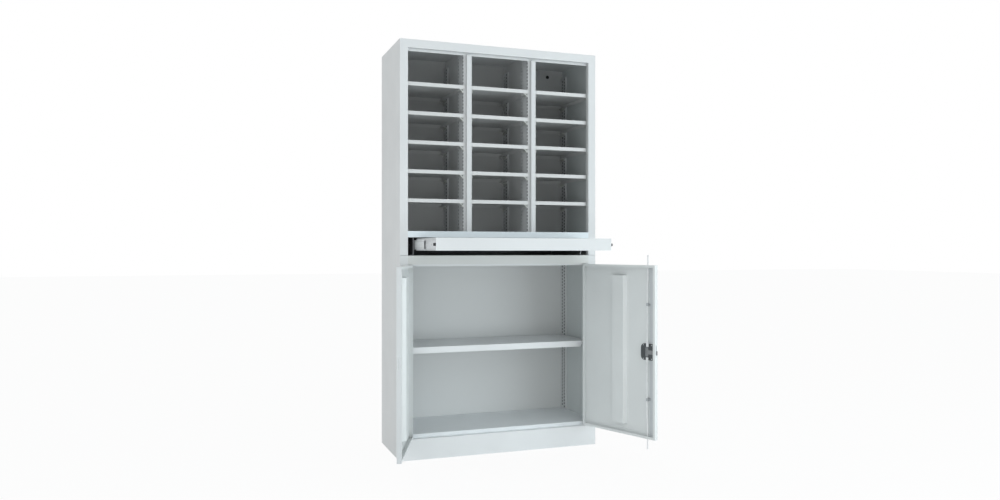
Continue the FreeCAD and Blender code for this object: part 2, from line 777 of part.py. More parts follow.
def lock_rod(rod_y, side, end_z):
    """A flat rod with a wide foot at the lock, bent toward the door skin; side is 1 upward, -1 downward."""
    foot_z = lock_z + side * rod_start
    bend_z = lock_z + side * rod_bend_from_lock
    path = [(rod_y, foot_z), (rod_y, bend_z), (rod_y - rod_bend, bend_z + side * rod_bend_length),
            (rod_y - rod_bend, end_z)]
    rod = folded_across(path[::-side], rod_x - rod_width / 2, rod_x + rod_width / 2, rod_thickness)
    foot = box(rod_x - rod_foot_width / 2, rod_x + rod_foot_width / 2, rod_y, rod_y + rod_thickness,
               foot_z, foot_z + side * rod_foot_length)
    return joined([rod, foot])


def rod_guide(rod_y, z):
    """A strap on the door skin that holds a rod down, with a foot at each side."""
    inner = front + sheet
    reach = rod_width / 2 + guide_gap + guide_sheet
    over = rod_y + rod_thickness + guide_gap + guide_sheet
    plan = [(reach + guide_foot, inner + guide_sheet), (reach, inner + guide_sheet), (reach, over),
            (-reach, over), (-reach, inner + guide_sheet), (-reach - guide_foot, inner + guide_sheet)]
    path = [(rod_x + x, y) for x, y in plan]
    return folded_up(path, z - guide_height / 2, z + guide_height / 2, guide_sheet)


os.makedirs("parts", exist_ok=True)

save_pair("side_panel", side_panel())
save("back_panel", [back_panel()])
save("top_panel", [box(-half, half, front, back, top_z, top_z + sheet)])
save("header_rail", [header_rail()])
save("sorter_floor", [joined(list(floor_with_rail(sorter_floor_z, sorter_rail_z)))])
save("middle_rail", [middle_rail()])
save("cupboard_floor", [cupboard_floor()])
save("plinth", [plinth()])

save_pair("divider", moved(divider(), divider_offset))
save("divider_front_posts", both_sides([moved(divider_front_post(), divider_offset)]))
save("divider_rear_posts", both_sides([moved(divider_rear_post(), divider_offset)]))
save("sorter_corner_posts", corner_posts(sorter_floor_z, header_z - sheet, hook_level(first_shelf_z)))
save("cupboard_corner_posts", corner_posts(cupboard_floor_z, bay_floor_z - sheet, hook_level(cupboard_shelf_z)))

post_clear = shoulder_half + shelf_side_gap
outer_end = corner_post_face - shelf_side_gap
past_pan = shoulder_half - nose_half
right_shelf = sorter_shelf(divider_offset + post_clear, outer_end, (0.0, sorter_notch_width), (past_pan, 0.0))
middle_shelf = sorter_shelf(post_clear - divider_offset, divider_offset - post_clear, (0.0, 0.0),
                            (past_pan, past_pan))
for row in range(shelf_rows):
    shelf_z = first_shelf_z + row * shelf_pitch
    save_pair(f"sorter_shelf_{row + 1}", moved(right_shelf, z=shelf_z))
    save(f"middle_sorter_shelf_{row + 1}", [moved(middle_shelf, z=shelf_z)])
save("cupboard_shelf", [cupboard_shelf()])
save("shelf_clips", shelf_clips())

save_pair("bay_bracket", bay_bracket())
save_pair("slide_outer", slide_outer())
save_pair("slide_middle", moved(slide_middle(), y=-travel / 2))
save_pair("slide_retainer", moved(slide_retainer(), y=-travel / 2))
save_pair("slide_inner", moved(slide_inner(), y=-travel))
save("slide_end_caps", both_sides([moved(slide_end_cap(), y=-travel)]))
save("slide_screws", both_sides(screws(bracket_x - slide_sheet, 1, screw_rows(slide_front, slide_length))))
shelf_screws = screws(inner_web_face, -1, screw_rows(inner_front, slide_length))
save("shelf_screws", both_sides([moved(one, y=-travel) for one in shelf_screws]))
save("work_shelf", [moved(work_shelf(), y=-travel)])

save("hinge_pins", hinge_pins())
save("right_door", [opened(right_door())])
save("left_door", [opened(mirrored(door_pan()), -1)])
save("right_door_stiffener", [opened(door_stiffener())])
save("left_door_stiffener", [opened(mirrored(door_stiffener()), -1)])
save("right_hinge_bushes", [opened(bush) for bush in hinge_bushes()])
save("left_hinge_bushes", [opened(mirrored(bush), -1) for bush in hinge_bushes()])
save("lock_case", [opened(lock_case())])
save("lock_cam", [opened(lock_cam())])
save("door_handle", [opened(door_handle())])
save("lock_cylinder", [opened(lock_cylinder())])
save("top_rod", [opened(lock_rod(top_rod_y, 1, door_top + top_rod_reach))])
save("bottom_rod", [opened(lock_rod(bottom_rod_y, -1, door_bottom - bottom_rod_reach))])
save("rod_guides", [opened(rod_guide(top_rod_y, lock_z + guide_from_lock)),
                    opened(rod_guide(bottom_rod_y, lock_z - guide_from_lock))])
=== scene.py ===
import json
import math

import bmesh
import bpy
from mathutils import Matrix, Vector


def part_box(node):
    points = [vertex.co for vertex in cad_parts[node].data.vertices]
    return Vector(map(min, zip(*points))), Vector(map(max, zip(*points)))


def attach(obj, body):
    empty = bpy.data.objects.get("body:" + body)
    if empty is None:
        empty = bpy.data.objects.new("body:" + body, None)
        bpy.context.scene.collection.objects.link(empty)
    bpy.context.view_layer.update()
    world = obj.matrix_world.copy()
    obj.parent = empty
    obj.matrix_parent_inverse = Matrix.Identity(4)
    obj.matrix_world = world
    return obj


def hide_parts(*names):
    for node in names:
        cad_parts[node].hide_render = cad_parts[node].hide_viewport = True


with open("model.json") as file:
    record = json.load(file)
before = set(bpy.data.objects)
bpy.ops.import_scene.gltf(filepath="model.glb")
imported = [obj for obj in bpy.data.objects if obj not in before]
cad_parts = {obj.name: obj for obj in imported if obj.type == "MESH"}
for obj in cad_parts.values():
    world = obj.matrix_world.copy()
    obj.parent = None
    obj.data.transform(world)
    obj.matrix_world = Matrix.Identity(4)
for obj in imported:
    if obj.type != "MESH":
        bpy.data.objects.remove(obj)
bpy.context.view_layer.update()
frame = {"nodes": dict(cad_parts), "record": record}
nodes = frame["nodes"]
scene = bpy.context.scene
print("frame loaded,", len(nodes), "nodes")

mm = 0.001


# Small helpers for node trees

def linear(red, green, blue):
    # screen values of 0 to 255 as linear light
    channels = [value / 255 for value in (red, green, blue)]
    light = [c / 12.92 if c <= 0.04045 else ((c + 0.055) / 1.055) ** 2.4 for c in channels]
    return (*light, 1.0)


def addNode(tree, kind, **settings):
    node = tree.nodes.new(kind)
    for key, value in settings.items():
        if hasattr(node, key):
            setattr(node, key, value)
        else:
            node.inputs[key.replace("_", " ")].default_value = value
    return node


def newFinish(name):
    material = bpy.data.materials.new(name)
    material.use_nodes = True
    tree = material.node_tree
    tree.nodes.clear()
    output = tree.nodes.new("ShaderNodeOutputMaterial")
    shader = tree.nodes.new("ShaderNodeBsdfPrincipled")
    place = tree.nodes.new("ShaderNodeTexCoord")
    tree.links.new(shader.outputs[0], output.inputs[0])
    return material, tree, shader, place.outputs["Object"]


def noise(tree, place, scale, detail=2.0, stretch=(1, 1, 1)):
    mapping = addNode(tree, "ShaderNodeMapping")
    mapping.inputs["Scale"].default_value = stretch
    tree.links.new(place, mapping.inputs["Vector"])
    texture = addNode(tree, "ShaderNodeTexNoise", Scale=scale, Detail=detail)
    tree.links.new(mapping.outputs[0], texture.inputs["Vector"])
    return texture.outputs[0]


def spread(tree, value, low, high, fromLow=0.3, fromHigh=0.7):
    span = tree.nodes.new("ShaderNodeMapRange")
    limits = {"From Min": fromLow, "From Max": fromHigh, "To Min": low, "To Max": high}
    for socket, number in limits.items():
        span.inputs[socket].default_value = number
    tree.links.new(value, span.inputs["Value"])
    return span.outputs[0]


def feed(tree, socket, value):
    # a plain value is set on the socket, another socket is linked to it
    if isinstance(value, bpy.types.NodeSocket):
        tree.links.new(value, socket)
    else:
        socket.default_value = value


def blendTones(tree, share, first, second):
    mix = tree.nodes.new("ShaderNodeMix")
    mix.data_type = "RGBA"
    for socket, value in zip((mix.inputs[0], mix.inputs[6], mix.inputs[7]), (share, first, second)):
        feed(tree, socket, value)
    return mix.outputs[2]


def relief(tree, shader, heights, strength, distance):
    bump = addNode(tree, "ShaderNodeBump", Strength=strength, Distance=distance)
    tree.links.new(heights, bump.inputs["Height"])
    tree.links.new(bump.outputs[0], shader.inputs["Normal"])


# The right door's own frame: places are given for the shut door and turned to where it stands open

joints = {joint["name"]: joint for joint in frame["record"]["behaviour"]["joints"]}
hinge = joints["right_door_hinge"]
hingePlace = Vector(hinge["pos_m"])
openAngle = math.radians(-hinge["range_deg"][0])
opening = Matrix.Rotation(openAngle, 4, "Z")
turnOpen = Matrix.Translation(hingePlace) @ opening @ Matrix.Translation(-hingePlace)
mirrorX = Matrix.Diagonal((-1, 1, 1, 1))


# Powder coat

paint = {
    "carcass": (214, 216, 217),
    "low": (224, 226, 227),           # plinth and cupboard shelf: a lighter copy of the carcass colour, painted light
    # cupboard floor: a lighter copy of the carcass colour, painted light
    "litCupboardFloor": (230, 234, 236),
    # doors and their stiffeners: a lighter copy of the carcass colour, painted light
    "door": (228, 231, 231),
    "doorShade": (200, 204, 205),     # the far slope of the stiffener
    "gutterShade": (205, 209, 212),    # painted shade on the strip between the rods and the edge of the door
    "doorEdgeShade": (203, 206, 208),      # painted shade on the edge of the left door, beside the lock
    # front of the middle rail: a darker copy of the carcass colour, painted shade under the work
    # shelf
    "rail": (208, 210, 208),
    # front of the sorter floor: a lighter, bluer copy of the carcass colour, painted light
    "litSorterRail": (224, 233, 238),
    # inner faces of the side panels: a darker copy of the carcass colour, painted shade
    "innerWallShade": (200, 205, 205),
    # slotted posts: a darker copy of the carcass colour, painted shade
    "post": (207, 209, 210),
    # shelves and dividers of the sorter: a darker copy of the carcass colour, painted shade
    "sorterShelfShade": (206, 207, 207),
    # back of the sorter: a darker copy of the carcass colour, painted shade
    "sorterBackShade": (199, 200, 200),
    "cupboardBack": (214, 216, 216),
    "hollowShade": (44, 45, 46),         # painted shade on the sheets inside the slotted posts and on the cut edges of their slots
    "bayShade": (70, 71, 72),            # painted shade on the sheet around the slides, inside the bay
    "lockCase": (78, 81, 83),
    "toneShift": 0.035,               # how far the lighter and darker patches part
    "patchScale": 3.2,
    "sheenScale": 9.0,
    "roughness": (0.36, 0.46),
    "lockCaseRoughness": (0.45, 0.6),
    "peelScale": 620.0,               # fine orange peel
    "peelStrength": 0.05,
    "peelDepth": 0.2,                 # millimetres
}


def shaded(base, factor):
    return tuple(min(1.0, channel * factor) for channel in base[:3]) + (1.0,)


def patchyTone(tree, place, colour, shift, scale):
    base = linear(*colour)
    patches = spread(tree, noise(tree, place, scale, detail=3.0), 0, 1)
    return blendTones(tree, patches, shaded(base, 1 - shift), shaded(base, 1 + shift))


def combine(tree, operation, first, second):
    node = addNode(tree, "ShaderNodeMath", operation=operation)
    for socket, value in zip(node.inputs, (first, second)):
        feed(tree, socket, value)
    return node.outputs[0]


def between(tree, value, low, high):
    return combine(tree, "MULTIPLY", combine(tree, "GREATER_THAN", value, low),
                   combine(tree, "LESS_THAN", value, high))


def boxMask(tree, place, boxes):
    # 1 inside any of the boxes, each a pair of lowest and highest corner in millimetres
    axes = addNode(tree, "ShaderNodeSeparateXYZ")
    tree.links.new(place, axes.inputs[0])
    total = None
    for low, high in boxes:
        inside = None
        for axis, a, b in zip(axes.outputs, low, high):
            part = between(tree, axis, a * mm, b * mm)
            inside = part if inside is None else combine(tree, "MULTIPLY", inside, part)
        total = inside if total is None else combine(tree, "MAXIMUM", total, inside)
    return total


def shutPlace(tree, place, side):
    # where a point of a door lies on the shut right door, with side 1 for right and -1 for left
    turnShut = addNode(tree, "ShaderNodeMapping")
    turnShut.inputs["Scale"].default_value = (side, 1, 1)
    turnShut.inputs["Rotation"].default_value = (0, 0, -openAngle)
    turnShut.inputs["Location"].default_value = turnOpen.inverted().to_translation()
    tree.links.new(place, turnShut.inputs["Vector"])
    return turnShut.outputs[0]


def powderCoat(name, colour, roughness=paint["roughness"], zones=(), doorSide=0):
    # zones are pairs of boxes and the tone painted inside them as light and shade,
    # on a door as places on the shut right door
    material, tree, shader, place = newFinish(name)
    tone = patchyTone(tree, place, colour, paint["toneShift"], paint["patchScale"])
    zonePlace = shutPlace(tree, place, doorSide) if doorSide else place
    for boxes, inside in zones:
        tone = blendTones(tree, boxMask(tree, zonePlace, boxes), tone, linear(*inside))
    tree.links.new(tone, shader.inputs["Base Color"])
    sheen = noise(tree, place, paint["sheenScale"], detail=4.0)
    tree.links.new(spread(tree, sheen, *roughness), shader.inputs["Roughness"])
    peel = noise(tree, place, paint["peelScale"], detail=1.5)
    relief(tree, shader, peel, paint["peelStrength"], paint["peelDepth"] * mm)
    return material


# Plated steel

slideLow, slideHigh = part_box("right_slide_outer")
slideLevel = (slideLow.z + slideHigh.z) / 2

plating = {
    "slide": (225, 227, 229),
    # middle members of the slides: a lighter copy of the slide zinc, painted light
    "litSlideMiddle": (240, 242, 243),
    "raceway": 0.86,                  # painted shade of the rolled raceways against the flat of a slide
    "racewayReach": (12.5, 17.5),     # millimetres above and below the middle of the slide
    "fastener": (205, 208, 210),
    "rod": (246, 247, 248),
    "guide": (190, 194, 196),
    "clip": (212, 214, 211),
    "cam": (146, 148, 150),
    # brackets and outer slide members: zinc plated, the colour darkened as painted shade of the bay
    "bracket": (112, 113, 115),
    "cylinder": (222, 224, 226),
    "dull": 0.15,                     # how metallic each kind of plating is
    "zinc": 0.3,
    "steel": 0.5,
    "bright": 0.7,
    "chrome": 0.9,
    "roughness": (0.30, 0.42),
    "camRoughness": (0.38, 0.5),
    "cylinderRoughness": (0.1, 0.18),
    "toneShift": 0.06,
    "patchScale": 60.0,
    "grainScale": 900.0,
    "grainStrength": 0.06,
    "grainDepth": 0.05,               # millimetres
    "grainBack": (1, 0.05, 1),        # drawn along the depth of the cabinet
    "grainUp": (1, 1, 0.05),
    "grainEven": (1, 1, 1),
}


# a darker band, painted shade of the rolled raceways, above and below the middle of the slide
def racewayShade(tree, place, colour, tone):
    axes = addNode(tree, "ShaderNodeSeparateXYZ")
    tree.links.new(place, axes.inputs[0])
    aboveMiddle = combine(tree, "SUBTRACT", axes.outputs[2], slideLevel)
    reach = [distance * mm for distance in plating["racewayReach"]]
    band = between(tree, combine(tree, "ABSOLUTE", aboveMiddle, 0.0), *reach)
    return blendTones(tree, band, tone, shaded(linear(*colour), plating["raceway"]))


def platedSteel(name, colour, metallic=plating["zinc"], roughness=plating["roughness"],
                grain=plating["grainBack"], raceways=False):
    material, tree, shader, place = newFinish(name)
    tone = patchyTone(tree, place, colour, plating["toneShift"], plating["patchScale"])
    if raceways:
        tone = racewayShade(tree, place, colour, tone)
    tree.links.new(tone, shader.inputs["Base Color"])
    drawn = noise(tree, place, plating["grainScale"], stretch=grain)
    tree.links.new(spread(tree, drawn, *roughness), shader.inputs["Roughness"])
    shader.inputs["Metallic"].default_value = metallic
    relief(tree, shader, drawn, plating["grainStrength"], plating["grainDepth"] * mm)
    return material


# Plastic and rubber

plastic = {
    "handle": (34, 35, 37),
    "dark": (34, 34, 36),
    "pale": (206, 208, 206),
    "rubber": (22, 22, 23),
    "roughness": (0.42, 0.55),
    "rubberRoughness": (0.6, 0.75),
    "cloudScale": 40.0,
    "cloudTone": 1.3,
    "grainScale": 1400.0,
    "grainStrength": 0.12,
    "grainDepth": 0.05,               # millimetres
}


def mouldedPlastic(name, colour, roughness=plastic["roughness"]):
    material, tree, shader, place = newFinish(name)
    base = linear(*colour)
    clouds = noise(tree, place, plastic["cloudScale"], detail=3.0)
    tone = blendTones(tree, spread(tree, clouds, 0, 1), base, shaded(base, plastic["cloudTone"]))
    tree.links.new(tone, shader.inputs["Base Color"])
    tree.links.new(spread(tree, clouds, *roughness), shader.inputs["Roughness"])
    grain = noise(tree, place, plastic["grainScale"])
    relief(tree, shader, grain, plastic["grainStrength"], plastic["grainDepth"] * mm)
    return material


# Where painted shade and painted light lie on the sheet, in millimetres

def boxOf(across, deep, high):
    return tuple(zip(across, deep, high))


def withMirrored(boxes):
    return boxes + [((-high[0], *low[1:]), (-low[0], *high[1:])) for low, high in boxes]


clear = 0.2       # by which a zone reaches past the face it ends at
underTop = 1.2    # from the top of the cabinet down to where the highest zones end
wall = max(corner.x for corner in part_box("back_panel")) / mm
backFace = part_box("back_panel")[0].y / mm + clear
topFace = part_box("top_panel")[1].z / mm - underTop
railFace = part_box("middle_rail")[0].y / mm + clear

spans = {
    "across": (-500, 500),
    "bayAcross": (-460, 460),
    "bayDeep": (-176.5, 198.5),
    "bayHigh": (948.5, 1061.5),
    "backDeep": (190, backFace),
    "sorterBackHigh": (1060, topFace),
    "sorterWallHigh": (1062, topFace),
    "cupboardHigh": (115, 948),
    "railDeep": (-210, railFace),
    "railsHigh": (900, 1062),
    "wallAcross": (0, wall + clear),
    "wallDeep": (-175, 200),
}

# boxes for painted shade in the bay, on the back and on the rail fronts, and for painted light on
# the sorter floor's front
bayZone = [boxOf(spans["bayAcross"], spans["bayDeep"], spans["bayHigh"])]
backZones = [
    ([boxOf(spans["across"], spans["backDeep"], spans["sorterBackHigh"])], paint["sorterBackShade"]),
    ([boxOf(spans["across"], spans["backDeep"], spans["cupboardHigh"])], paint["cupboardBack"]),
    ([boxOf(spans["bayAcross"], spans["backDeep"], spans["bayHigh"])], paint["bayShade"]),
]
railZone = [boxOf(spans["across"], spans["railDeep"], spans["railsHigh"])]
# inner faces of the side panels, for painted shade
innerWalls = withMirrored([boxOf(spans["wallAcross"], spans["wallDeep"], high)
                           for high in (spans["cupboardHigh"], spans["sorterWallHigh"])])

posts = {    # the hollows of the slotted posts, and the cut edges inside their slots, where painted shade goes
    "sorterHigh": (1062, 1911),
    "cupboardHigh": (115, 947),
    "cornersDeep": ((-175.3, -115.2), (137.7, 198.2)),
    "dividersDeep": ((-200, -86.8), (138.3, 200)),
    "slotsHigh": (115, 1911),
    "slotsDeep": (-174.8, 196.8),
    "cornerSlotsDeep": ((-174.3, -116.2), (138.7, 196.8)),
    "sheets": (144.5, 185.5, 154.5, 175.5),    # middles of the slotted sheets beside a divider
    "cornerSheet": 489.5,
    "halfSheet": 0.46,
}


def sheetAcross(middle):
    return (middle - posts["halfSheet"], middle + posts["halfSheet"])


postHollows = withMirrored([boxOf(spans["wallAcross"], deep, high) for deep in posts["cornersDeep"]
                            for high in (posts["sorterHigh"], posts["cupboardHigh"])])
dividerHollows = [boxOf(spans["across"], deep, posts["sorterHigh"])
                  for deep in posts["dividersDeep"]]
slotEdges = withMirrored([boxOf(sheetAcross(middle), posts["slotsDeep"], posts["sorterHigh"])
                          for middle in posts["sheets"]])
cornerSlotEdges = withMirrored([boxOf(sheetAcross(posts["cornerSheet"]), deep, posts["slotsHigh"])
                                for deep in posts["cornerSlotsDeep"]])

stiffenerLow, stiffenerHigh = (corner.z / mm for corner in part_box("right_door_stiffener"))
onDoor = {    # places on the shut right door, for painted shade
    "high": (90, 960),
    "slopeAcross": (265, 276),
    "slopeDeep": (-199.5, -186),
    "gutterAcross": (20, 47.5),
    "gutterDeep": (-199.5, -196),
    "edgeAcross": (0, 4.5),
    "edgeDeep": (-199.5, -180),
}
farSlope = boxOf(onDoor["slopeAcross"], onDoor["slopeDeep"], (stiffenerLow, stiffenerHigh))
gutter = boxOf(onDoor["gutterAcross"], onDoor["gutterDeep"], onDoor["high"])
edge = boxOf(onDoor["edgeAcross"], onDoor["edgeDeep"], onDoor["high"])
doorZones = [([farSlope], paint["doorShade"]), ([gutter], paint["gutterShade"])]
leftDoorZones = doorZones + [([edge], paint["doorEdgeShade"])]


# Finishes

coats = {    # colour and zones of painted light and painted shade
    "carcassPaint": ("carcass", ()),
    "lowPaint": ("low", ()),
    "floorPaint": ("litCupboardFloor", ()),
    "railPaint": ("carcass", [(bayZone, paint["bayShade"]), (railZone, paint["rail"])]),
    "sorterRailPaint": ("carcass", [(bayZone, paint["bayShade"]), (railZone, paint["litSorterRail"])]),
    "backPaint": ("carcass", backZones),
    "postPaint": ("post", [(slotEdges, paint["hollowShade"])]),
    "cornerPostPaint": ("post", [(cornerSlotEdges, paint["hollowShade"])]),
    "sidePaint": ("carcass", [(innerWalls, paint["innerWallShade"]), (postHollows, paint["hollowShade"])]),
    "dividerPaint": ("sorterShelfShade", [(dividerHollows, paint["hollowShade"])]),
    "shelfPaint": ("sorterShelfShade", ()),
    "workShelfPaint": ("carcass", ()),
}
finishes = {name: powderCoat(name, paint[tone], zones=zones)
            for name, (tone, zones) in coats.items()}
finishes.update({
    # doors: the lighter door colour as painted light, with zones of painted shade
    "doorPaint": powderCoat("doorPaint", paint["door"], zones=doorZones, doorSide=1),
    "leftDoorPaint": powderCoat("leftDoorPaint", paint["door"], zones=leftDoorZones, doorSide=-1),
    "slideZinc": platedSteel("slideZinc", plating["slide"]),
    "slideMiddleZinc": platedSteel("slideMiddleZinc", plating["litSlideMiddle"], plating["dull"],
                                   raceways=True),
    "bracketZincInShade": platedSteel("bracketZincInShade", plating["bracket"]),
    "fastenerZinc": platedSteel("fastenerZinc", plating["fastener"], plating["bright"],
                                grain=plating["grainEven"]),
    "rodZinc": platedSteel("rodZinc", plating["rod"], plating["dull"], grain=plating["grainUp"]),
    "guideZinc": platedSteel("guideZinc", plating["guide"], plating["dull"],
                             grain=plating["grainUp"]),
    "clipZinc": platedSteel("clipZinc", plating["clip"], plating["dull"],
                            grain=plating["grainEven"]),
    "camSteel": platedSteel("camSteel", plating["cam"], plating["steel"],
                            plating["camRoughness"], plating["grainEven"]),
    "lockCaseDark": powderCoat("lockCaseDark", paint["lockCase"], paint["lockCaseRoughness"]),
    "handlePlastic": mouldedPlastic("handlePlastic", plastic["handle"]),
    "darkPlastic": mouldedPlastic("darkPlastic", plastic["dark"]),
    "palePlastic": mouldedPlastic("palePlastic", plastic["pale"]),
    "blackRubber": mouldedPlastic("blackRubber", plastic["rubber"], plastic["rubberRoughness"]),
    "cylinderChrome": platedSteel("cylinderChrome", plating["cylinder"], plating["chrome"],
                                  plating["cylinderRoughness"], plating["grainEven"]),
})

finishByNode = {
    "side_panel": "sidePaint",
    "back_panel": "backPaint",
    "middle_rail": "railPaint",
    "sorter_floor": "sorterRailPaint",
    "plinth": "lowPaint",
    "cupboard_floor": "floorPaint",
    "cupboard_shelf": "lowPaint",
    "divider": "dividerPaint",
    "divider_front_posts": "postPaint",
    "divider_rear_posts": "postPaint",
    "corner_posts": "cornerPostPaint",
    "door": "doorPaint",
    "stiffener": "doorPaint",
    "left_door": "leftDoorPaint",
    "left_door_stiffener": "leftDoorPaint",
    "shelf": "shelfPaint",
    "work_shelf": "workShelfPaint",
    "bay_bracket": "bracketZincInShade",
    "shelf_clips": "clipZinc",
    "shelf_screws": "fastenerZinc",
    "slide_screws": "fastenerZinc",
    "hinge_pins": "fastenerZinc",
    "hinge_bushes": "palePlastic",
    "slide_outer": "bracketZincInShade",
    "slide_middle": "slideMiddleZinc",
    "slide_inner": "slideZinc",
    "slide_retainer": "slideMiddleZinc",
    "slide_end_caps": "darkPlastic",
    "lock_case": "lockCaseDark",
    "lock_cam": "camSteel",
    "door_handle": "handlePlastic",
    "lock_cylinder": "cylinderChrome",
    "rod_guides": "guideZinc",
    "top_rod": "rodZinc",
    "bottom_rod": "rodZinc",
}


def finishOf(name):
    fitting = [key for key in finishByNode if key in name]
    return finishes[finishByNode[max(fitting, key=len)]] if fitting else finishes["carcassPaint"]


for name, node in nodes.items():
    for materialSlot in node.material_slots:
        materialSlot.material = finishOf(name)
print("finishes set")


def placePiece(name, mesh, body, finish, replaced=()):
    mesh.materials.clear()
    mesh.materials.append(finishes[finish])
    for face in mesh.polygons:
        face.material_index = 0
    piece = bpy.data.objects.new(name, mesh)
    scene.collection.objects.link(piece)
    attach(piece, body)
    if replaced:
        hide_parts(*replaced)
    return piece


# Fixings: one node tree sets a round head with its shank on every point, facing outwards

def newTree(name, sockets):
    tree = bpy.data.node_groups.new(name, "GeometryNodeTree")
    tree.interface.new_socket("Geometry", in_out="INPUT", socket_type="NodeSocketGeometry")
    for label, kind in sockets:
        tree.interface.new_socket(label, in_out="INPUT", socket_type=kind)
    tree.interface.new_socket("Geometry", in_out="OUTPUT", socket_type="NodeSocketGeometry")
    return tree, tree.nodes.new("NodeGroupInput").outputs, tree.nodes.new("NodeGroupOutput").inputs


def times(tree, value, factor):
    return combine(tree, "MULTIPLY", value, factor)


def vectorOf(tree, **axes):
    node = addNode(tree, "ShaderNodeCombineXYZ")
    for axis, value in axes.items():
        feed(tree, node.inputs[axis], value)
    return node.outputs[0]


def shifted(tree, geometry, offset):
    node = addNode(tree, "GeometryNodeTransform")
    tree.links.new(geometry, node.inputs["Geometry"])
    tree.links.new(offset, node.inputs["Translation"])
    return node.outputs[0]


def joinedGeometry(tree, parts):
    node = tree.nodes.new("GeometryNodeJoinGeometry")
    for part in parts:
        tree.links.new(part, node.inputs[0])
    return node.outputs[0]


headShape = {    # shares of the head's height and radius
    "rim": 0.45,
    "steps": ((0.33, 0.84), (0.22, 0.62)),    # rise and narrowing of each step of the crown
    "recessLength": 1.15,
    "recessWidth": 0.24,
}


def fixingTree():
    tree, given, result = newTree("fixings", (
        ("Radius", "NodeSocketFloat"), ("Height", "NodeSocketFloat"), ("Sides", "NodeSocketInt"),
        ("Shank Radius", "NodeSocketFloat"), ("Shank Length", "NodeSocketFloat"),
        ("Cross Recess", "NodeSocketBool"), ("Finish", "NodeSocketMaterial")))
    link = tree.links.new

    head = tree.nodes.new("GeometryNodeMeshCylinder")
    link(given["Sides"], head.inputs["Vertices"])
    link(given["Radius"], head.inputs["Radius"])
    link(times(tree, given["Height"], headShape["rim"]), head.inputs["Depth"])
    lift = vectorOf(tree, Z=times(tree, given["Height"], headShape["rim"] / 2))
    crown = shifted(tree, head.outputs["Mesh"], lift)
    top = head.outputs["Top"]
    for rise, narrowing in headShape["steps"]:
        extrude = addNode(tree, "GeometryNodeExtrudeMesh", mode="FACES")
        link(crown, extrude.inputs["Mesh"])
        link(top, extrude.inputs["Selection"])
        link(times(tree, given["Height"], rise), extrude.inputs["Offset Scale"])
        narrow = addNode(tree, "GeometryNodeScaleElements", domain="FACE")
        link(extrude.outputs["Mesh"], narrow.inputs["Geometry"])
        link(extrude.outputs["Top"], narrow.inputs["Selection"])
        narrow.inputs["Scale"].default_value = narrowing
        crown, top = narrow.outputs[0], extrude.outputs["Top"]

    cut = tree.nodes.new("GeometryNodeMeshBoolean")
    cut.operation = "DIFFERENCE"
    link(crown, cut.inputs["Mesh 1"])
    barLength = times(tree, given["Radius"], headShape["recessLength"])
    barWidth = times(tree, given["Radius"], headShape["recessWidth"])
    for long, short in (("X", "Y"), ("Y", "X")):
        bar = tree.nodes.new("GeometryNodeMeshCube")
        barSize = vectorOf(tree, **{long: barLength, short: barWidth, "Z": given["Height"]})
        link(barSize, bar.inputs["Size"])
        raised = shifted(tree, bar.outputs["Mesh"], vectorOf(tree, Z=given["Height"]))
        link(raised, cut.inputs["Mesh 2"])
    choice = addNode(tree, "GeometryNodeSwitch", input_type="GEOMETRY")
    link(given["Cross Recess"], choice.inputs["Switch"])
    link(crown, choice.inputs["False"])
    link(cut.outputs["Mesh"], choice.inputs["True"])

    shank = tree.nodes.new("GeometryNodeMeshCylinder")
    link(given["Sides"], shank.inputs["Vertices"])
    link(given["Shank Radius"], shank.inputs["Radius"])
    link(given["Shank Length"], shank.inputs["Depth"])
    drop = vectorOf(tree, Z=times(tree, given["Shank Length"], -0.5))
    below = shifted(tree, shank.outputs["Mesh"], drop)

    facing = addNode(tree, "GeometryNodeInputNamedAttribute", data_type="FLOAT_VECTOR",
                     Name="facing")
    turn = addNode(tree, "FunctionNodeAlignRotationToVector", axis="Z")
    link(facing.outputs["Attribute"], turn.inputs["Vector"])
    spreadOut = tree.nodes.new("GeometryNodeInstanceOnPoints")
    link(given["Geometry"], spreadOut.inputs["Points"])
    link(joinedGeometry(tree, (choice.outputs[0], below)), spreadOut.inputs["Instance"])
    link(turn.outputs[0], spreadOut.inputs["Rotation"])
    real = tree.nodes.new("GeometryNodeRealizeInstances")
    link(spreadOut.outputs[0], real.inputs[0])
    coated = tree.nodes.new("GeometryNodeSetMaterial")
    link(real.outputs[0], coated.inputs["Geometry"])
    link(given["Finish"], coated.inputs["Material"])
    link(coated.outputs[0], result["Geometry"])
    return tree


def evaluatedMesh(carrier):
    # the plain mesh that an object's modifiers give, after which the object goes
    bpy.context.view_layer.update()
    graph = bpy.context.evaluated_depsgraph_get()
    mesh = bpy.data.meshes.new_from_object(carrier.evaluated_get(graph))
    carrier.modifiers.clear()
    bpy.data.objects.remove(carrier)
    return mesh


def builtMesh(name, mesh, tree, settings):
    carrier = bpy.data.objects.new(name + "Points", mesh)
    scene.collection.objects.link(carrier)
    modifier = carrier.modifiers.new("build", "NODES")
    modifier.node_group = tree
    labels = {item.name: item.identifier for item in tree.interface.items_tree
              if item.in_out == "INPUT"}
    for label, value in settings.items():
        modifier[labels[label]] = value
    built = evaluatedMesh(carrier)
    built.name = name
    return built


fixingHeads = fixingTree()


def headOf(radius, height, shankRadius, shankLength, recess=False):
    # sizes in millimetres
    return {"Radius": radius * mm, "Height": height * mm, "Shank Radius": shankRadius * mm,
            "Shank Length": shankLength * mm, "Cross Recess": recess}


fixings = {
    "panHead": headOf(4.0, 2.0, 2.0, 5.7, recess=True),
    "rivet": headOf(2.3, 0.9, 1.2, 1.2),
    "flushScrew": headOf(3.0, 0.22, 1.4, 3.0),
    "weldMark": headOf(3.0, 0.2, 1.0, 0.6),
    "sides": 14,
}


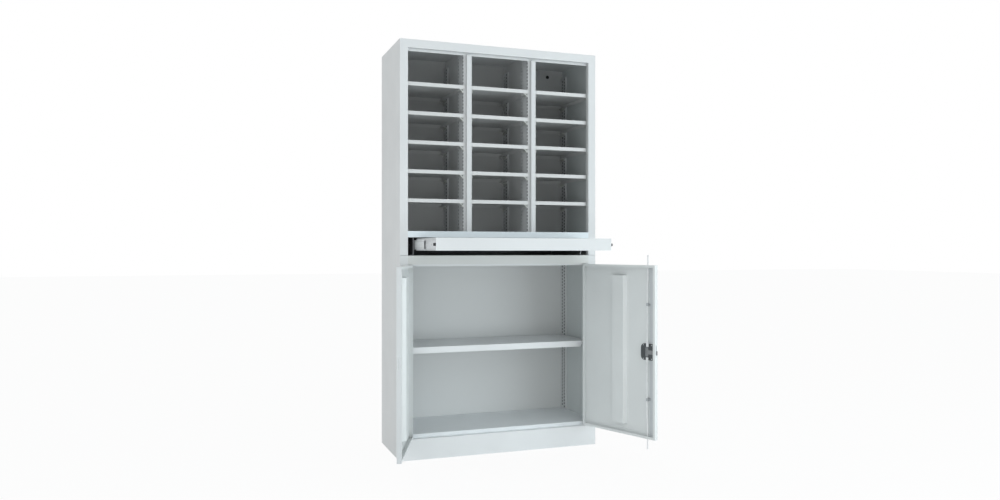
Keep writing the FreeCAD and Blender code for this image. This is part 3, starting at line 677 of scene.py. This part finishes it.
def setFixings(name, kind, spots, body, finish, replaced=()):
    # spots are pairs of place and outward direction, in metres
    mesh = bpy.data.meshes.new(name + "Spots")
    mesh.from_pydata([spot for spot, _ in spots], [], [])
    facing = mesh.attributes.new("facing", "FLOAT_VECTOR", "POINT")
    for item, (_, direction) in zip(facing.data, spots):
        item.vector = direction
    settings = {**fixings[kind], "Sides": fixings["sides"], "Finish": finishes[finish]}
    built = builtMesh(name, mesh, fixingHeads, settings)
    return placePiece(name, built, body, finish, replaced)


# Screws of the slides: heads on the web of the outer member and on the web of the inner member

slideScrews = {"firstBehindFront": 75.0, "spacing": 100.0, "perSlide": 3, "sheet": 1.2}


def screwSpots(memberName, webAtOuterSide, headInward):
    low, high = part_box(memberName)
    sheet = slideScrews["sheet"] * mm
    web = high.x - sheet if webAtOuterSide else low.x + sheet
    spots = []
    for i in range(slideScrews["perSlide"]):
        y = low.y + (slideScrews["firstBehindFront"] + i * slideScrews["spacing"]) * mm
        for side in (1, -1):
            spots.append(((side * web, y, slideLevel), (-side if headInward else side, 0, 0)))
    return spots


setFixings("slideScrewHeads", "panHead", screwSpots("right_slide_outer", True, True),
           "cabinet", "fastenerZinc", ("slide_screws",))
setFixings("shelfScrewHeads", "panHead", screwSpots("right_slide_inner", False, False),
           "work_shelf", "fastenerZinc", ("shelf_screws",))
print("slide screws set")


# Fixings of the lock and of the door stiffeners, placed on the shut right door

doorFixings = {
    "lockAxis": (57.0, 501.25),
    "caseRear": -192.0,
    "caseScrews": ((-27.0, 32.0), (-27.0, -32.0), (22.0, 32.0), (22.0, -32.0)),
    "rodAxis": 51.5,
    "guideFoot": (8.3, -197.5),
    "guidesFromLock": 220.0,
    "stiffenerMiddle": 230.25,
    "stiffenerFoot": (49.0, -198.0),
    "firstWeld": 175.0,
    "weldSpacing": 85.0,
    "welds": 8,
}


def onShutDoor(points, matrix):
    direction = matrix.to_3x3() @ Vector((0, 1, 0))
    return [(matrix @ (Vector(point) * mm), direction) for point in points]


lockX, lockZ = doorFixings["lockAxis"]
casePoints = [(lockX + dx, doorFixings["caseRear"], lockZ + dz)
              for dx, dz in doorFixings["caseScrews"]]
setFixings("lockCaseScrews", "flushScrew", onShutDoor(casePoints, turnOpen),
           "right_door", "fastenerZinc")

footOffset, footFace = doorFixings["guideFoot"]
fromLock = doorFixings["guidesFromLock"]
guidePoints = [(doorFixings["rodAxis"] + dx, footFace, lockZ + dz)
               for dx in (-footOffset, footOffset) for dz in (-fromLock, fromLock)]
setFixings("guideRivets", "rivet", onShutDoor(guidePoints, turnOpen),
           "right_door", "guideZinc")

weldOffset, weldFace = doorFixings["stiffenerFoot"]
weldPoints = [(doorFixings["stiffenerMiddle"] + dx, weldFace,
               doorFixings["firstWeld"] + i * doorFixings["weldSpacing"])
              for dx in (-weldOffset, weldOffset) for i in range(doorFixings["welds"])]
rightWelds = onShutDoor(weldPoints, turnOpen)
leftWelds = [(mirrorX @ spot, mirrorX @ direction) for spot, direction in rightWelds]
setFixings("rightDoorWelds", "weldMark", rightWelds, "right_door", "doorPaint")
setFixings("leftDoorWelds", "weldMark", leftWelds, "left_door", "leftDoorPaint")
print("lock and door fixings set")


# Small moulded and pressed parts get their edges rounded

roundedParts = {    # node: body, slot, radius in millimetres
    "door_handle": ("lock_handle", "handle_plastic", 2.2),
    "lock_cylinder": ("lock_handle", "cylinder_chrome", 0.6),
    "lock_cam": ("lock_handle", "cam_steel", 0.4),
    "lock_case": ("right_door", "lock_case_dark", 0.6),
    "slide_end_caps": ("work_shelf", "dark_plastic", 1.4),
    "left_slide_retainer": ("left_slide_middle", "slide_zinc", 0.35),
    "right_slide_retainer": ("right_slide_middle", "slide_zinc", 0.35),
    "hinge_pins": ("cabinet", "fastener_zinc", 0.4),
}

rounding = {
    "mergeWithin": 0.005,    # millimetres
    "flatWithin": 1.0,       # degrees, as are the next two
    "roundFrom": 40,
    "sharpFrom": 35,
    "segments": 3,
}


def smoothed(mesh, sharpFrom):
    mesh.polygons.foreach_set("use_smooth", [True] * len(mesh.polygons))
    mesh.set_sharp_from_angle(angle=math.radians(sharpFrom))
    return mesh


def mergedCopy(name):
    mesh = bpy.data.meshes.new(name + "Merged")
    work = bmesh.new()
    work.from_mesh(nodes[name].data)
    bmesh.ops.remove_doubles(work, verts=work.verts, dist=rounding["mergeWithin"] * mm)
    bmesh.ops.dissolve_limit(work, angle_limit=math.radians(rounding["flatWithin"]),
                             verts=work.verts, edges=work.edges)
    work.to_mesh(mesh)
    work.free()
    return mesh


def roundEdges(name, radius):
    carrier = bpy.data.objects.new(name + "Carrier", mergedCopy(name))
    scene.collection.objects.link(carrier)
    bevel = carrier.modifiers.new("edges", "BEVEL")
    bevel.width = radius * mm
    bevel.segments = rounding["segments"]
    bevel.limit_method = "ANGLE"
    bevel.angle_limit = math.radians(rounding["roundFrom"])
    return smoothed(evaluatedMesh(carrier), rounding["sharpFrom"])


for name, (body, slot, radius) in roundedParts.items():
    finish = next(key for key, material in finishes.items() if material == finishOf(name))
    placePiece(name + "_rounded", roundEdges(name, radius), body, finish, (name,))
print("small parts rounded")


# Rubber grommet with a closed membrane in the cable hole of the back panel

grommet = {
    # radius and depth behind the panel's front, from the inner rim around to the rear
    "profile": ((5.6, -0.35), (6.6, -1.3), (8.6, -1.4), (9.3, -0.9), (9.3, 0.0), (8.45, 0.0),
                (8.45, 1.0), (9.3, 1.0), (9.3, 1.7), (8.6, 1.9), (6.6, 1.9), (5.6, 1.1)),
    "membrane": (0.25, 0.75),
    "holeFromMiddle": 411.0,
    "holeFromTop": 36.0,
    "sides": 40,
    "sharpFrom": 50,
}


def grommetMesh():
    low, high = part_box("back_panel")
    middle = Vector((grommet["holeFromMiddle"], low.y / mm,
                     high.z / mm - grommet["holeFromTop"]))
    work = bmesh.new()
    rings = []
    frontSkin, rearSkin = grommet["membrane"]
    for radius, y in ((0.0, frontSkin), *grommet["profile"], (0.0, rearSkin)):
        count = 1 if radius == 0 else grommet["sides"]
        ring = []
        for i in range(count):
            angle = 2 * math.pi * i / grommet["sides"]
            place = middle + Vector((radius * math.cos(angle), y, radius * math.sin(angle)))
            ring.append(work.verts.new(place * mm))
        rings.append(ring)
    for first, second in zip(rings, rings[1:]):
        for i in range(grommet["sides"]):
            j = (i + 1) % grommet["sides"]
            corners = [ring[k % len(ring)] for ring, k in
                       ((first, i), (first, j), (second, j), (second, i))]
            work.faces.new(list(dict.fromkeys(corners)))
    bmesh.ops.recalc_face_normals(work, faces=work.faces)
    mesh = bpy.data.meshes.new("cableGrommet")
    work.to_mesh(mesh)
    work.free()
    return smoothed(mesh, grommet["sharpFrom"])


placePiece("cableGrommet", grommetMesh(), "cabinet", "blackRubber")
print("grommet in place")


# Floor, light and camera

stage = {
    "floorSize": 60.0,
    "floorColour": (242, 242, 242),
    "shownWhite": 0.93,      # how much of the floor's look to the camera is plain white
    "world": 0.72,
    "worldColour": (0.965, 1.0, 1.005, 1.0),
    "lampAim": (0, 0, 0.95),
}

lamps = {    # place, size, watts and colour
    "key": ((2.6, -5.0, 3.4), 3.0, 46.0, (0.84, 0.95, 1.0)),
    "lowRight": ((2.2, -3.2, 0.3), 1.5, 36.0, (0.84, 0.95, 1.0)),
    "floorGlow": ((-1.2, -2.8, 0.25), 1.5, 18.0, (0.96, 1.0, 1.0)),
}


def lampAt(name, place, size, watts, colour):
    lamp = bpy.data.lights.new(name, "AREA")
    lamp.energy = watts
    lamp.size = size
    lamp.color = colour
    holder = bpy.data.objects.new(name, lamp)
    scene.collection.objects.link(holder)
    holder.location = place
    toAim = Vector(stage["lampAim"]) - holder.location
    holder.rotation_euler = toAim.to_track_quat("-Z", "Y").to_euler()


def seenDirectly(tree):
    # 1 for camera, mirror and see-through rays
    path = tree.nodes.new("ShaderNodeLightPath")
    total = path.outputs["Is Camera Ray"]
    for other in ("Is Glossy Ray", "Is Transmission Ray"):
        larger = addNode(tree, "ShaderNodeMath", operation="MAXIMUM")
        tree.links.new(total, larger.inputs[0])
        tree.links.new(path.outputs[other], larger.inputs[1])
        total = larger.outputs[0]
    return total


def paleFloor():
    material = bpy.data.materials.new("paleFloor")
    material.use_nodes = True
    tree = material.node_tree
    tree.nodes.clear()
    output = tree.nodes.new("ShaderNodeOutputMaterial")
    matt = addNode(tree, "ShaderNodeBsdfDiffuse", Color=linear(*stage["floorColour"]))
    white = addNode(tree, "ShaderNodeEmission", Strength=1.0)
    mix = tree.nodes.new("ShaderNodeMixShader")
    share = combine(tree, "MULTIPLY", seenDirectly(tree), stage["shownWhite"])
    for socket, value in zip(mix.inputs, (share, matt.outputs[0], white.outputs[0])):
        tree.links.new(value, socket)
    tree.links.new(mix.outputs[0], output.inputs[0])
    mesh = bpy.data.meshes.new("floor")
    half = stage["floorSize"] / 2
    corners = [(-half, -half, 0), (half, -half, 0), (half, half, 0), (-half, half, 0)]
    mesh.from_pydata(corners, [], [(0, 1, 2, 3)])
    mesh.materials.append(material)
    floor = bpy.data.objects.new("floor", mesh)
    scene.collection.objects.link(floor)
    return floor


def paleWorld():
    world = bpy.data.worlds.new("studio")
    world.use_nodes = True
    scene.world = world
    tree = world.node_tree
    tree.nodes.clear()
    output = tree.nodes.new("ShaderNodeOutputWorld")
    background = tree.nodes.new("ShaderNodeBackground")
    direct = seenDirectly(tree)
    tone = blendTones(tree, direct, stage["worldColour"], (1.0, 1.0, 1.0, 1.0))
    tree.links.new(tone, background.inputs["Color"])
    strength = spread(tree, direct, stage["world"], 1.0, 0.0, 1.0)
    tree.links.new(strength, background.inputs["Strength"])
    tree.links.new(background.outputs[0], output.inputs[0])


paleFloor()
paleWorld()
for name, settings in lamps.items():
    lampAt(name, *settings)

view = {
    "place": (-1.3643, -3.9004, 0.9741),
    "tilt": 90,
    "turn": -20.11,
    "lens": 29.51,
    "sensor": 36.0,
}

cameraData = bpy.data.cameras.new("camera")
cameraData.lens = view["lens"]
cameraData.sensor_width = view["sensor"]
camera = bpy.data.objects.new("camera", cameraData)
camera.location = view["place"]
camera.rotation_euler = (math.radians(view["tilt"]), 0, math.radians(view["turn"]))
scene.collection.objects.link(camera)
scene.camera = camera
scene.view_settings.view_transform = "Standard"
print("floor, light and camera ready")
